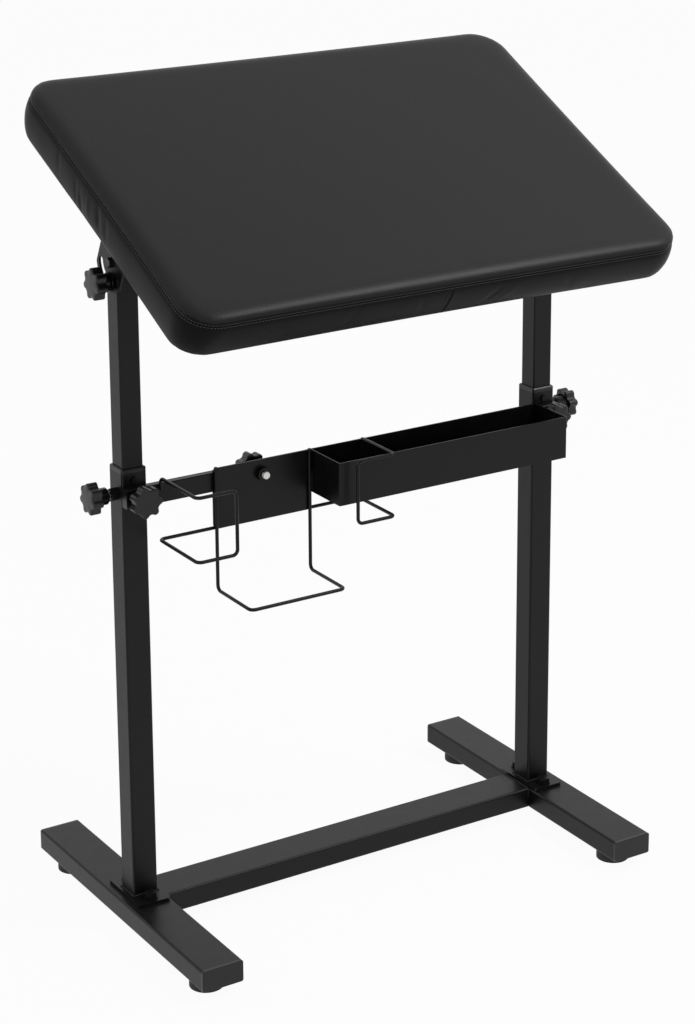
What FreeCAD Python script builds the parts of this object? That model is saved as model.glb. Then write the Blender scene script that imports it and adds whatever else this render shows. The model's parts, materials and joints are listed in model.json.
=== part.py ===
import FreeCAD, Part
import math
import os
import Sketcher

# Height-adjustable arm rest stand: two telescoping posts on foot bars, a tilting padded board between
# their tops, and a clamped rail that carries a tray and a wire rack.
# Millimetres and degrees. +X runs along the cross bar to the right, +Y to the back, +Z up.

doc = FreeCAD.newDocument("ArmRestStand")
sheet = doc.addObject("Spreadsheet::Sheet", "Sizes")

driving = {
    # rubber feet and foot bars
    "rubberHeight": 14, "rubberRadius": 19, "rubberInset": 37, "stemRadius": 4, "stemLength": 9,
    "footSpacing": 550, "footLength": 394, "footWidth": 50, "footHeight": 25, "footWall": 1.5,
    "footCorner": 2.5, "capPlate": 3, "capDepth": 12, "plugGap": 0.35,
    # base plates and their bolts
    "plateWidth": 40, "plateLength": 76, "plateThickness": 3.5, "plateCorner": 5,
    "baseBoltSpan": 54, "baseBoltRadius": 4, "baseBoltLength": 16, "baseHeadAcross": 13,
    "baseHeadHeight": 5.3, "baseWasherRadius": 8, "baseWasherThickness": 1.6, "baseNutHeight": 6.5,
    # posts, their collars and glides
    "postSpacing": 542, "outerPost": 30, "outerPostLength": 497, "postWall": 1.2, "postCorner": 2.5,
    "innerPost": 25, "innerPostLength": 478, "innerCorner": 2,
    "bushFlange": 5, "bushBevel": 1.2, "bushSleeve": 20, "bushGap": 0.15,
    "bushScrewDrop": 8, "bushScrewRadius": 1.9, "bushScrewHeadRadius": 3.7, "bushScrewHeadHeight": 2.4,
    "glideHeight": 5, "glideDepth": 14, "glideGap": 0.2, "topPlugPlate": 2, "topPlugDepth": 4,
    # star knobs and their studs
    "lobeCount": 7, "lobeRadius": 4.2, "lobeCircle": 13.6, "lobeChords": 6,
    "valleyRadius": 4.6, "valleyChords": 4, "headThickness": 12, "headEdge": 1.5,
    "hubRadius": 9.5, "hubSides": 16, "cavityDepth": 7, "cavityRadius": 12, "cavitySides": 21,
    "studRadius": 4, "studBite": 14, "threadGap": 0.05, "seatGap": 0.1,
    "heightKnobDrop": 25.5, "heightHub": 11, "heightThread": 4, "heightNutAcross": 13,
    "heightNutHeight": 8, "studClear": 0.3, "railHub": 10, "rackHub": 8,
    "tiltHub": 8, "tiltWasherRadius": 10.5, "tiltWasherThickness": 1.5, "tiltNutAcross": 13,
    "tiltNutHeight": 6,
    # storage rail
    "railHeight": 22, "railDepth": 10, "railWall": 1, "railCorner": 1.5, "railPlug": 2,
    "railPlugDepth": 8,
    # tray
    "trayDepth": 62, "trayHeight": 49.5, "traySheet": 1.2, "trayCorner": 1.7, "trayHook": 8,
    "trayRise": 4.3, "trayFromPlate": 0.7, "trayFromKnob": 1,
    # rack plate, its wires and its clamp
    "rackOffset": 119.5, "rackWidth": 124, "rackHeight": 69, "rackSheet": 2, "rackCorner": 5,
    "rackDrop": 52.5, "wireRadius": 2, "wireSides": 12, "wireBend": 6, "bendChords": 3,
    "weldGap": 0.05, "wireClear": 0.3, "hookLeg": 13,
    "cupHalf": 127, "cupInnerHalf": 79, "leftCupReach": 84, "rightCupReach": 74, "cupLift": -0.5,
    "basketHalf": 59.5, "basketReach": 77, "basketDrop": 123.5, "basketTop": 2,
    "rackNutRadius": 8, "rackNutHeight": 6, "rackStudEnd": 4,
    # tilt pivot and brackets
    "pivotHeight": 772, "pivotForward": 5, "pivotTop": 12, "pivotRadius": 3, "pivotHeadAcross": 10,
    "pivotHeadHeight": 4, "pivotLength": 12, "pivotNutHeight": 6, "pivotWasherRadius": 6,
    "pivotWasherThickness": 0.5,
    "tiltKnobDrop": 22, "bracketSheet": 2.5, "earHalf": 27.5, "slotHalfAngle": 58, "slotGap": 0.7,
    "slotRim": 5.5, "flangeWidth": 30, "flangeLength": 80, "screwRadius": 2.25,
    "screwHeadAcross": 8, "screwHeadHeight": 2.2, "screwLength": 14, "screwSpan": 60,
    "screwEdge": 10,
    # padded board
    "restTilt": 26, "padLift": 28.8, "padBack": 7, "padLength": 617, "padDepth": 407,
    "padCorner": 34, "seamHeight": 50, "seamCorner": 40, "endFlare": 3, "sideFlare": 9.8,
    "waistHeight": 22, "drawIn": 1.5, "crownHeight": 7.5, "crownDrop": 2.45, "crownEdge": 5,
    "crownRun": 25,
    "coverThickness": 1.5, "boardThickness": 15, "boardInset": 8, "boardCorner": 28,
    "coverMargin": 9,
    # overrun of every cut
    "overrun": 1,
}

# Sizes that follow from the ones above
following = {
    "footTop": "rubberHeight + footHeight",
    "plateTop": "footTop + plateThickness",
    "footTube": "footLength - 2 * capPlate",
    "footInWidth": "footWidth - 2 * footWall",
    "footInHeight": "footHeight - 2 * footWall",
    "footInCorner": "footCorner - footWall",
    "capInWidth": "footInWidth - 2 * plugGap",
    "capInHeight": "footInHeight - 2 * plugGap",
    "crossLength": "footSpacing - footWidth",
    "footBoltOffset": "(footSpacing - postSpacing) / 2",
    "baseBoltHole": "baseBoltRadius + threadGap",
    "stemHole": "stemRadius + threadGap",
    "outerInside": "outerPost - 2 * postWall",
    "outerInCorner": "postCorner - postWall",
    "outerTop": "plateTop + outerPostLength",
    "knobHeight": "outerTop - heightKnobDrop",
    "innerInside": "innerPost - 2 * postWall",
    "innerInCorner": "innerCorner - postWall",
    "bushInside": "innerPost + 2 * bushGap",
    "bushInCorner": "innerCorner + bushGap",
    "bushOutside": "outerInside - 2 * bushGap",
    "bushOutCorner": "outerInCorner",
    "glideWidth": "outerInside - 2 * glideGap",
    "postPlug": "innerInside - 2 * plugGap",
    "innerTop": "pivotHeight + pivotTop - topPlugPlate",
    "studHole": "studRadius + threadGap",
    "bushScrewHole": "bushScrewRadius + threadGap",
    "bushReach": "(outerPost - bushInside) / 2 - seatGap",
    "railLength": "postSpacing + outerPost",
    "railTube": "railLength - 2 * railPlug",
    "railInHeight": "railHeight - 2 * railWall",
    "railInDepth": "railDepth - 2 * railWall",
    "railInCorner": "railCorner - railWall",
    "railPlugHeight": "railInHeight - 2 * plugGap",
    "railPlugThick": "railInDepth - 2 * plugGap",
    "railFront": "outerPost / 2 + railDepth",
    "railCut": "railDepth + 2 * overrun",
    "knobRadius": "lobeCircle + lobeRadius",
    "trayEnd": "postSpacing / 2 - knobRadius - trayFromKnob",
    "trayStart": "rackWidth / 2 - rackOffset + trayFromPlate",
    "trayLength": "trayEnd - trayStart",
    "trayInLength": "trayLength - 2 * traySheet",
    "trayInDepth": "trayDepth - 2 * traySheet",
    "trayInCorner": "trayCorner - traySheet",
    "lipTop": "knobHeight + railHeight / 2 + seatGap + traySheet",
    "trayTop": "lipTop + trayRise",
    "rackBottom": "knobHeight - rackDrop",
    "earIn": "innerPost / 2 + pivotWasherThickness + seatGap",
    "earOut": "earIn + bracketSheet",
    "pivotHole": "pivotRadius + threadGap",
    "boardUnder": "padLift + coverThickness",
    "boardLength": "padLength - 2 * boardInset",
    "boardDepth": "padDepth - 2 * boardInset",
    "screwHole": "screwRadius + threadGap",
    "screwDepth": "screwLength - bracketSheet + seatGap",
    "boardTop": "coverThickness + boardThickness",
    "crownTop": "seamHeight + crownHeight + overrun",
    "crownRadius": "((padLength / 2) ^ 2 + (padDepth / 2) ^ 2 + crownDrop ^ 2) / (2 * crownDrop)",
    "boardWindowLength": "boardLength - 2 * coverMargin",
    "boardWindowDepth": "boardDepth - 2 * coverMargin",
}
for row, (word, value) in enumerate(driving.items(), start=1):
    sheet.set("A%d" % row, word)
    sheet.set("B%d" % row, str(value))
    sheet.setAlias("B%d" % row, word)
doc.recompute()
for row, (word, total) in enumerate(following.items(), start=1):
    sheet.set("D%d" % row, word)
    sheet.set("E%d" % row, "=" + total)
    sheet.setAlias("E%d" % row, word)
    doc.recompute()
g = {word: float(sheet.get(word)) for word in [*driving, *following]}

X_AXIS = FreeCAD.Vector(1, 0, 0)
Y_AXIS = FreeCAD.Vector(0, 1, 0)
Z_AXIS = FreeCAD.Vector(0, 0, 1)
SIDES = {"left": -1, "right": 1}
nodes = []


def turn(axis, angle):
    return FreeCAD.Rotation(axis, angle)


UPRIGHT = turn(Z_AXIS, 0)
FORWARD = turn(X_AXIS, 90)
BACKWARD = turn(X_AXIS, -90)
OUTWARD = {"left": turn(Y_AXIS, -90), "right": turn(Y_AXIS, 90)}


def at(x=0, y=0, z=0, rotation=UPRIGHT):
    return FreeCAD.Placement(FreeCAD.Vector(x, y, z), rotation)


def keep(label, item, place=None):
    item.Label = label
    if place is not None:
        item.Placement = place
    nodes.append(item)
    return item


def newBody(name):
    return doc.addObject("PartDesign::Body", name)


# A sketch on one of the body's own origin planes, moved in that plane and lifted off it
def newSketch(body, role, u=0, v=0, lift=0):
    support = [plane for plane in body.Origin.OriginFeatures if plane.Role == role][0]
    sketch = body.newObject("Sketcher::SketchObject", body.Name + "Sketch")
    sketch.AttachmentSupport = [(support, "")]
    sketch.MapMode = "FlatFace"
    sketch.AttachmentOffset = at(u, v, lift)
    return sketch


def fix(sketch, constraint, name, word):
    sketch.renameConstraint(sketch.addConstraint(constraint), name)
    sketch.setExpression(".Constraints." + name, "Sizes." + word)


# A rectangle with rounded corners about the sketch's origin, its sizes tied to the sheet
def rectangle(sketch, width, height, corner, name="outer"):
    w, h, r = g[width] / 2, g[height] / 2, g[corner]
    first = sketch.GeometryCount
    sides = [((r - w, -h), (w - r, -h)), ((w, r - h), (w, h - r)),
             ((w - r, h), (r - w, h)), ((-w, h - r), (-w, r - h))]
    for (x0, y0), (x1, y1) in sides:
        sketch.addGeometry(Part.LineSegment(FreeCAD.Vector(x0, y0), FreeCAD.Vector(x1, y1)))
    for quarter, (sx, sy) in enumerate([(1, -1), (1, 1), (-1, 1), (-1, -1)]):
        centre = FreeCAD.Vector(sx * (w - r), sy * (h - r))
        start = math.radians(90 * quarter - 90)
        sketch.addGeometry(Part.ArcOfCircle(Part.Circle(centre, Z_AXIS, r), start, start + math.pi / 2))
    for k in range(4):
        side, after, arc = first + k, first + (k + 1) % 4, first + 4 + k
        sketch.addConstraint(Sketcher.Constraint("Tangent", side, 2, arc, 1))
        sketch.addConstraint(Sketcher.Constraint("Tangent", arc, 2, after, 1))
        sketch.addConstraint(Sketcher.Constraint("Vertical" if k % 2 else "Horizontal", side))
    for k in range(3):
        sketch.addConstraint(Sketcher.Constraint("Equal", first + 4 + k, first + 5 + k))
    sketch.addConstraint(Sketcher.Constraint("Symmetric", first + 4, 3, first + 6, 3, -1, 1))
    fix(sketch, Sketcher.Constraint("Radius", first + 4, r), name + "Corner", corner)
    fix(sketch, Sketcher.Constraint("DistanceX", first + 3, 1, first + 1, 1, 2 * w), name + "Width", width)
    fix(sketch, Sketcher.Constraint("DistanceY", first, 1, first + 2, 1, 2 * h), name + "Height", height)


# A rectangle with plain corners about the sketch's origin
def block(sketch, width, height):
    w, h = g[width] / 2, g[height] / 2
    corners = [FreeCAD.Vector(x, y) for x, y in ((-w, -h), (w, -h), (w, h), (-w, h))]
    for k in range(4):
        sketch.addGeometry(Part.LineSegment(corners[k], corners[(k + 1) % 4]))
    for k in range(4):
        sketch.addConstraint(Sketcher.Constraint("Coincident", k, 2, (k + 1) % 4, 1))
        sketch.addConstraint(Sketcher.Constraint("Vertical" if k % 2 else "Horizontal", k))
    sketch.addConstraint(Sketcher.Constraint("Symmetric", 0, 1, 2, 1, -1, 1))
    fix(sketch, Sketcher.Constraint("DistanceX", 0, 1, 0, 2, 2 * w), "blockWidth", width)
    fix(sketch, Sketcher.Constraint("DistanceY", 1, 1, 1, 2, 2 * h), "blockHeight", height)


# A closed outline through points that the sheet's sizes have placed
def polygon(sketch, points):
    for start, end in zip(points, points[1:] + points[:1]):
        count = sketch.addGeometry(Part.LineSegment(start, end))
        sketch.addConstraint(Sketcher.Constraint("Block", count))


def ring(radius, sides):
    turns = [2 * math.pi * k / int(g[sides]) for k in range(int(g[sides]))]
    return [FreeCAD.Vector(g[radius] * math.cos(angle), g[radius] * math.sin(angle)) for angle in turns]


def circle(sketch, radius, u=0, v=0):
    count = sketch.addGeometry(Part.Circle(FreeCAD.Vector(u, v), Z_AXIS, g[radius]))
    if u:
        sketch.addConstraint(Sketcher.Constraint("DistanceX", -1, 1, count, 3, u))
    else:
        sketch.addConstraint(Sketcher.Constraint("PointOnObject", count, 3, -2))
    if v:
        sketch.addConstraint(Sketcher.Constraint("DistanceY", -1, 1, count, 3, v))
    else:
        sketch.addConstraint(Sketcher.Constraint("PointOnObject", count, 3, -1))
    fix(sketch, Sketcher.Constraint("Radius", count, g[radius]), "round%d" % count, radius)


# A pad or pocket of a sketch, over a length in the sheet or through everything
def grow(body, kind, sketch, word=None, symmetric=False, flip=False):
    feature = body.newObject("PartDesign::" + kind, body.Name + kind)
    feature.Profile = sketch
    feature.Type = "Length" if word else "ThroughAll"
    feature.SideType = "Symmetric" if symmetric else "One side"
    feature.Reversed = flip
    if word:
        feature.setExpression("Length", "Sizes." + word)
    return feature


def drill(body, role, radius, spots, flip=False):
    sketch = newSketch(body, role)
    for u, v in spots:
        circle(sketch, radius, u, v)
    grow(body, "Pocket", sketch, flip=flip)


def bevel(body, feature, word, chosen):
    doc.recompute()
    names = ["Edge%d" % k for k, edge in enumerate(feature.Shape.Edges, start=1) if chosen(edge)]
    cut = body.newObject("PartDesign::Chamfer", body.Name + "Bevel")
    cut.Base = (feature, names)
    cut.setExpression("Size", "Sizes." + word)
    return cut


def level(edge, height):
    box = edge.BoundBox
    return abs(box.ZMin - height) < g["seatGap"] / 2 and abs(box.ZMax - height) < g["seatGap"] / 2


def tie(item, name, formula):
    item.setExpression(name, " ".join("Sizes." + part if part in g else part for part in formula.split()))


def rod(name, radius, length, lift=0):
    item = doc.addObject("Part::Cylinder", name)
    tie(item, "Radius", radius)
    tie(item, "Height", length)
    item.Placement = at(0, 0, lift)
    return item


def hexagon(name, across, height):
    item = doc.addObject("Part::Prism", name)
    item.Polygon = 6
    tie(item, "Circumradius", across + " / sqrt(3)")
    tie(item, "Height", height)
    return item


def join(kind, name, base, tool):
    item = doc.addObject("Part::" + kind, name)
    item.Base = base
    item.Tool = tool
    return item


def bored(name, base, hole, height):
    tool = rod(name + "Hole", hole, height + " + 2 * overrun", -g["overrun"])
    return join("Cut", name, base, tool)


# Equal pieces: copies of one piece, each a solid of its own
def group(label, item, places):
    doc.recompute()
    copies = []
    for place in places:
        shape = item.Shape.copy()
        shape.Placement = place.multiply(shape.Placement)
        copies.append(shape)
    return solidNode(label, Part.makeCompound(copies))


def solidNode(label, shape, place=None):
    feature = doc.addObject("Part::Feature", label)
    feature.Shape = shape
    return keep(label, feature, place)


def tube(name, role, outer, inner, length, symmetric=True):
    body = newBody(name)
    sketch = newSketch(body, role)
    rectangle(sketch, *outer, name="outer")
    rectangle(sketch, *inner, name="inner")
    grow(body, "Pad", sketch, length, symmetric)
    return body


halfPosts = g["postSpacing"] / 2
halfFeet = g["footSpacing"] / 2

# Foot bars, their end caps and the cross bar
footOutline = ("footWidth", "footHeight", "footCorner")
footBore = ("footInWidth", "footInHeight", "footInCorner")
footMiddle = g["rubberHeight"] + g["footHeight"] / 2
rubberOffset = g["footLength"] / 2 - g["rubberInset"]
boltSpots = [(0, -g["baseBoltSpan"] / 2), (0, g["baseBoltSpan"] / 2)]
for side, sign in SIDES.items():
    bar = tube(side + "FootBar", "XZ_Plane", footOutline, footBore, "footTube")
    drill(bar, "XY_Plane", "baseBoltHole", [(-sign * g["footBoltOffset"], v) for u, v in boltSpots], True)
    drill(bar, "XY_Plane", "stemHole", [(0, -rubberOffset), (0, rubberOffset)])
    keep(side + "_foot_bar", bar, at(sign * halfFeet, 0, footMiddle))

cap = newBody("footCap")
capFace = newSketch(cap, "XZ_Plane")
rectangle(capFace, *footOutline)
grow(cap, "Pad", capFace, "capPlate")
capPlug = newSketch(cap, "XZ_Plane")
block(capPlug, "capInWidth", "capInHeight")
grow(cap, "Pad", capPlug, "capDepth", flip=True)
capPlaces = []
for sign in SIDES.values():
    capPlaces.append(at(sign * halfFeet, -g["footTube"] / 2, footMiddle))
    capPlaces.append(at(sign * halfFeet, g["footTube"] / 2, footMiddle, turn(Z_AXIS, 180)))
group("foot_caps", cap, capPlaces)

crossBar = tube("crossBar", "YZ_Plane", footOutline, footBore, "crossLength")
keep("cross_bar", crossBar, at(0, 0, footMiddle))

# Rubber feet, each with a stem pushed into the underside of its foot bar
rubber = newBody("rubberFoot")
rubberDisc = newSketch(rubber, "XY_Plane")
circle(rubberDisc, "rubberRadius")
grow(rubber, "Pad", rubberDisc, "rubberHeight")
rubberStem = newSketch(rubber, "XY_Plane", lift=g["rubberHeight"])
circle(rubberStem, "stemRadius")
grow(rubber, "Pad", rubberStem, "stemLength")
group("rubber_feet", rubber,
      [at(sx * halfFeet, sy * rubberOffset) for sx in (-1, 1) for sy in (-1, 1)])

# Base plates, bolted through the tops of the foot bars
for side, sign in SIDES.items():
    basePlate = newBody(side + "BasePlate")
    baseFace = newSketch(basePlate, "XY_Plane")
    rectangle(baseFace, "plateWidth", "plateLength", "plateCorner")
    grow(basePlate, "Pad", baseFace, "plateThickness")
    drill(basePlate, "XY_Plane", "baseBoltHole", boltSpots, True)
    keep(side + "_base_plate", basePlate, at(sign * halfPosts, 0, g["footTop"]))

baseSpots = [(sign * halfPosts, v) for sign in SIDES.values() for u, v in boltSpots]
baseBolt = join("Fuse", "baseBolt", hexagon("baseBoltHead", "baseHeadAcross", "baseHeadHeight"),
                rod("baseBoltShank", "baseBoltRadius", "baseBoltLength", -g["baseBoltLength"]))
washerTop = g["plateTop"] + g["baseWasherThickness"]
group("base_bolts", baseBolt, [at(x, y, washerTop) for x, y in baseSpots])
baseWasher = bored("baseWasher", rod("baseWasherDisc", "baseWasherRadius", "baseWasherThickness"),
                   "baseBoltHole", "baseWasherThickness")
group("base_washers", baseWasher, [at(x, y, g["plateTop"]) for x, y in baseSpots])
baseNut = bored("baseNut", hexagon("baseNutBlock", "baseHeadAcross", "baseNutHeight"),
                "baseBoltHole", "baseNutHeight")
nutFloor = g["footTop"] - g["footWall"] - g["baseNutHeight"]
group("base_nuts", baseNut, [at(x, y, nutFloor) for x, y in baseSpots])

# The outer upper edges of a guide bush
def onRim(edge):
    out = max(abs(edge.CenterOfMass.x), abs(edge.CenterOfMass.y))
    return level(edge, g["bushFlange"]) and out > g["bushInside"] / 2 + g["seatGap"]


# Outer posts with the holes for the height knobs, the rail knobs and the bush screws
for side, sign in SIDES.items():
    post = tube(side + "OuterPost", "XY_Plane", ("outerPost", "outerPost", "postCorner"),
                ("outerInside", "outerInside", "outerInCorner"), "outerPostLength", False)
    knobLevel = g["outerPostLength"] - g["heightKnobDrop"]
    drill(post, "YZ_Plane", "studHole", [(0, knobLevel)], sign > 0)
    drill(post, "XZ_Plane", "studHole", [(0, knobLevel)], True)
    drill(post, "XZ_Plane", "bushScrewHole", [(0, g["outerPostLength"] - g["bushScrewDrop"])], True)
    keep(side + "_outer_post", post, at(sign * halfPosts, 0, g["plateTop"]))

    bush = newBody(side + "GuideBush")
    bushTop = newSketch(bush, "XY_Plane")
    rectangle(bushTop, "outerPost", "outerPost", "postCorner", "outer")
    rectangle(bushTop, "bushInside", "bushInside", "bushInCorner", "inner")
    bushPad = grow(bush, "Pad", bushTop, "bushFlange")
    bevel(bush, bushPad, "bushBevel", onRim)
    sleeve = newSketch(bush, "XY_Plane")
    rectangle(sleeve, "bushOutside", "bushOutside", "bushOutCorner", "outer")
    rectangle(sleeve, "bushInside", "bushInside", "bushInCorner", "inner")
    grow(bush, "Pad", sleeve, "bushSleeve", flip=True)
    drill(bush, "XZ_Plane", "bushScrewHole", [(0, -g["bushScrewDrop"])], True)
    keep(side + "_guide_bush", bush, at(sign * halfPosts, 0, g["outerTop"]))

bushScrew = join("Fuse", "bushScrew", rod("bushScrewHead", "bushScrewHeadRadius", "bushScrewHeadHeight"),
                 rod("bushScrewShank", "bushScrewRadius", "bushReach", -g["bushReach"]))
screwLevel = g["outerTop"] - g["bushScrewDrop"]
group("bush_screws", bushScrew,
      [at(sign * halfPosts, -g["outerPost"] / 2, screwLevel, FORWARD) for sign in SIDES.values()])

heightNut = bored("heightNut", hexagon("heightNutBlock", "heightNutAcross", "heightNutHeight"),
                  "studHole", "heightNutHeight")
group("height_knob_nuts", heightNut,
      [at(sign * (halfPosts + g["outerPost"] / 2), 0, g["knobHeight"], OUTWARD[side])
       for side, sign in SIDES.items()])

# Inner posts, their glides and top plugs
innerFloor = g["innerTop"] - g["innerPostLength"]
tiltHeight = g["pivotHeight"] - g["tiltKnobDrop"]
for side, sign in SIDES.items():
    mast = tube(side + "InnerPost", "XY_Plane", ("innerPost", "innerPost", "innerCorner"),
                ("innerInside", "innerInside", "innerInCorner"), "innerPostLength", False)
    drill(mast, "YZ_Plane", "pivotHole", [(-g["pivotForward"], g["pivotHeight"] - innerFloor)], sign > 0)
    drill(mast, "YZ_Plane", "studHole", [(0, tiltHeight - innerFloor)], sign > 0)
    keep(side + "_inner_post", mast, at(sign * halfPosts, 0, innerFloor))

glide = newBody("glide")
glideFoot = newSketch(glide, "XY_Plane")
rectangle(glideFoot, "glideWidth", "glideWidth", "outerInCorner")
grow(glide, "Pad", glideFoot, "glideHeight", flip=True)
glidePlug = newSketch(glide, "XY_Plane")
block(glidePlug, "postPlug", "postPlug")
grow(glide, "Pad", glidePlug, "glideDepth")
group("post_glides", glide, [at(sign * halfPosts, 0, innerFloor) for sign in SIDES.values()])

plug = newBody("topPlug")
plugPlate = newSketch(plug, "XY_Plane")
rectangle(plugPlate, "innerPost", "innerPost", "innerCorner")
grow(plug, "Pad", plugPlate, "topPlugPlate")
plugStem = newSketch(plug, "XY_Plane")
block(plugStem, "postPlug", "postPlug")
grow(plug, "Pad", plugStem, "topPlugDepth", flip=True)
group("post_top_plugs", plug, [at(sign * halfPosts, 0, g["innerTop"]) for sign in SIDES.values()])


# Places on the two posts, measured outward from the posts' middles
def onPosts(out, y, z):
    return [at(sign * (halfPosts + out), y, z, OUTWARD[side]) for side, sign in SIDES.items()]


pivotBolt = join("Fuse", "pivotBolt", hexagon("pivotBoltHead", "pivotHeadAcross", "pivotHeadHeight"),
                 rod("pivotBoltShank", "pivotRadius", "pivotLength", -g["pivotLength"]))
group("pivot_bolts", pivotBolt, onPosts(g["earOut"] + g["seatGap"], -g["pivotForward"], g["pivotHeight"]))
pivotWasher = bored("pivotWasher", rod("pivotWasherDisc", "pivotWasherRadius", "pivotWasherThickness"),
                    "pivotHole", "pivotWasherThickness")
group("pivot_washers", pivotWasher, onPosts(g["innerPost"] / 2, -g["pivotForward"], g["pivotHeight"]))
pivotNut = bored("pivotNut", hexagon("pivotNutBlock", "pivotHeadAcross", "pivotNutHeight"),
                 "pivotHole", "pivotNutHeight")
group("pivot_nuts", pivotNut,
      onPosts(g["innerInside"] / 2 - g["pivotNutHeight"], -g["pivotForward"], g["pivotHeight"]))
tiltNut = bored("tiltNut", hexagon("tiltNutBlock", "tiltNutAcross", "tiltNutHeight"),
                "studHole", "tiltNutHeight")
group("tilt_knob_nuts", tiltNut, onPosts(g["innerInside"] / 2 - g["tiltNutHeight"], 0, tiltHeight))

# Storage rail, clamped across the fronts of the outer posts
rail = tube("storageRail", "YZ_Plane", ("railDepth", "railHeight", "railCorner"),
            ("railInDepth", "railInHeight", "railInCorner"), "railTube")
railHoles = newSketch(rail, "XZ_Plane")
for x in (-halfPosts, -g["rackOffset"], halfPosts):
    circle(railHoles, "studHole", x)
grow(rail, "Pocket", railHoles, "railCut", True)
railMiddle = -g["railFront"] + g["railDepth"] / 2
keep("storage_rail", rail, at(0, railMiddle, g["knobHeight"]))

railEnd = newBody("railEnd")
railEndPlate = newSketch(railEnd, "YZ_Plane")
rectangle(railEndPlate, "railDepth", "railHeight", "railCorner")
grow(railEnd, "Pad", railEndPlate, "railPlug")
railEndStem = newSketch(railEnd, "YZ_Plane")
block(railEndStem, "railPlugThick", "railPlugHeight")
grow(railEnd, "Pad", railEndStem, "railPlugDepth", flip=True)
group("rail_end_plugs", railEnd,
      [at(-g["railTube"] / 2, railMiddle, g["knobHeight"], turn(Z_AXIS, 180)),
       at(g["railTube"] / 2, railMiddle, g["knobHeight"])])

# Tray with a lip behind its back wall that hooks over the rail
trayFloor = g["trayTop"] - g["trayHeight"]
trayBack = -g["railFront"] - g["seatGap"]
trayBox = newBody("trayBox")
trayFace = newSketch(trayBox, "XY_Plane")
rectangle(trayFace, "trayLength", "trayDepth", "trayCorner")
grow(trayBox, "Pad", trayFace, "trayHeight")
trayHollow = newSketch(trayBox, "XY_Plane", lift=g["traySheet"])
rectangle(trayHollow, "trayInLength", "trayInDepth", "trayInCorner")
grow(trayBox, "Pocket", trayHollow, flip=True)
trayBox.Placement = at(g["trayStart"] + g["trayLength"] / 2, trayBack - g["trayDepth"] / 2, trayFloor)
doc.recompute()
lipStart = FreeCAD.Vector(g["trayStart"], trayBack - g["traySheet"], g["lipTop"] - g["traySheet"])
lipDepth = g["railDepth"] + 2 * g["seatGap"] + 2 * g["traySheet"]
lip = Part.makeBox(g["trayLength"], lipDepth, g["traySheet"], lipStart)
hookStart = lipStart + FreeCAD.Vector(0, lipDepth - g["traySheet"], g["traySheet"] - g["trayHook"])
hook = Part.makeBox(g["trayLength"], g["traySheet"], g["trayHook"], hookStart)
solidNode("tray", trayBox.Shape.fuse([lip, hook]).removeSplitter())

# Rack plate in front of the rail, with its clamp nut
rackPlate = newBody("rackPlate")
rackFace = newSketch(rackPlate, "XZ_Plane", v=g["rackHeight"] / 2 - g["rackDrop"])
rectangle(rackFace, "rackWidth", "rackHeight", "rackCorner")
grow(rackPlate, "Pad", rackFace, "rackSheet")
rackHole = newSketch(rackPlate, "XZ_Plane")
circle(rackHole, "studHole")
grow(rackPlate, "Pocket", rackHole, flip=True)
keep("rack_plate", rackPlate, at(-g["rackOffset"], -g["railFront"], g["knobHeight"]))

rackNut = bored("rackNut", rod("rackNutDisc", "rackNutRadius", "rackNutHeight"), "studHole", "rackNutHeight")
keep("rack_clamp_nut", rackNut,
     at(-g["rackOffset"], -g["railFront"] - g["rackSheet"], g["knobHeight"], FORWARD))


# A wire along straight runs, each bend in chords; the first run isn't along X
def bentWire(points):
    spine = [points[0]]
    for before, corner, after in zip(points, points[1:], points[2:]):
        into = (corner - before).normalize()
        away = (after - corner).normalize()
        sweep = into.getAngle(away)
        centre = corner + (away - into).normalize() * (g["wireBend"] / math.cos(sweep / 2))
        first = corner - into * g["wireBend"] * math.tan(sweep / 2) - centre
        for step in range(int(g["bendChords"]) + 1):
            angle = sweep * step / g["bendChords"]
            spine.append(centre + first * math.cos(angle) + into * g["wireBend"] * math.sin(angle))
    spine.append(points[-1])
    along = (points[1] - points[0]).normalize()
    outline = []
    for k in range(int(g["wireSides"]) + 1):
        angle = 2 * math.pi * k / g["wireSides"]
        across = X_AXIS * math.cos(angle) + along.cross(X_AXIS) * math.sin(angle)
        outline.append(points[0] + across * g["wireRadius"])
    return Part.makePolygon(spine).makePipeShell([Part.makePolygon(outline)], True, False, 1)


# Cup rack: one wire, a loop each side of the plate and a rail welded behind the plate
armTop = g["trayTop"] + g["wireRadius"] + g["wireClear"]
armBack = trayBack - g["traySheet"] - g["wireClear"] - g["wireRadius"]
cupRear = -g["railFront"] + g["wireRadius"] + g["weldGap"]
cupFloor = g["rackBottom"] + g["cupLift"]
cupPoints = []
for side, sign in SIDES.items():
    cupFront = -g["railFront"] - g[side + "CupReach"]
    arm = [(g["cupHalf"], armBack, armTop - g["hookLeg"]), (g["cupHalf"], armBack, armTop),
           (g["cupHalf"], cupFront, armTop), (g["cupInnerHalf"], cupFront, armTop),
           (g["cupInnerHalf"], cupFront, cupFloor), (g["cupHalf"], cupFront, cupFloor),
           (g["cupHalf"], cupRear, cupFloor)]
    points = [FreeCAD.Vector(sign * x - g["rackOffset"], y, z) for x, y, z in arm]
    cupPoints += points if sign < 0 else points[::-1]
solidNode("cup_rack_wire", bentWire(cupPoints))

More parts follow.
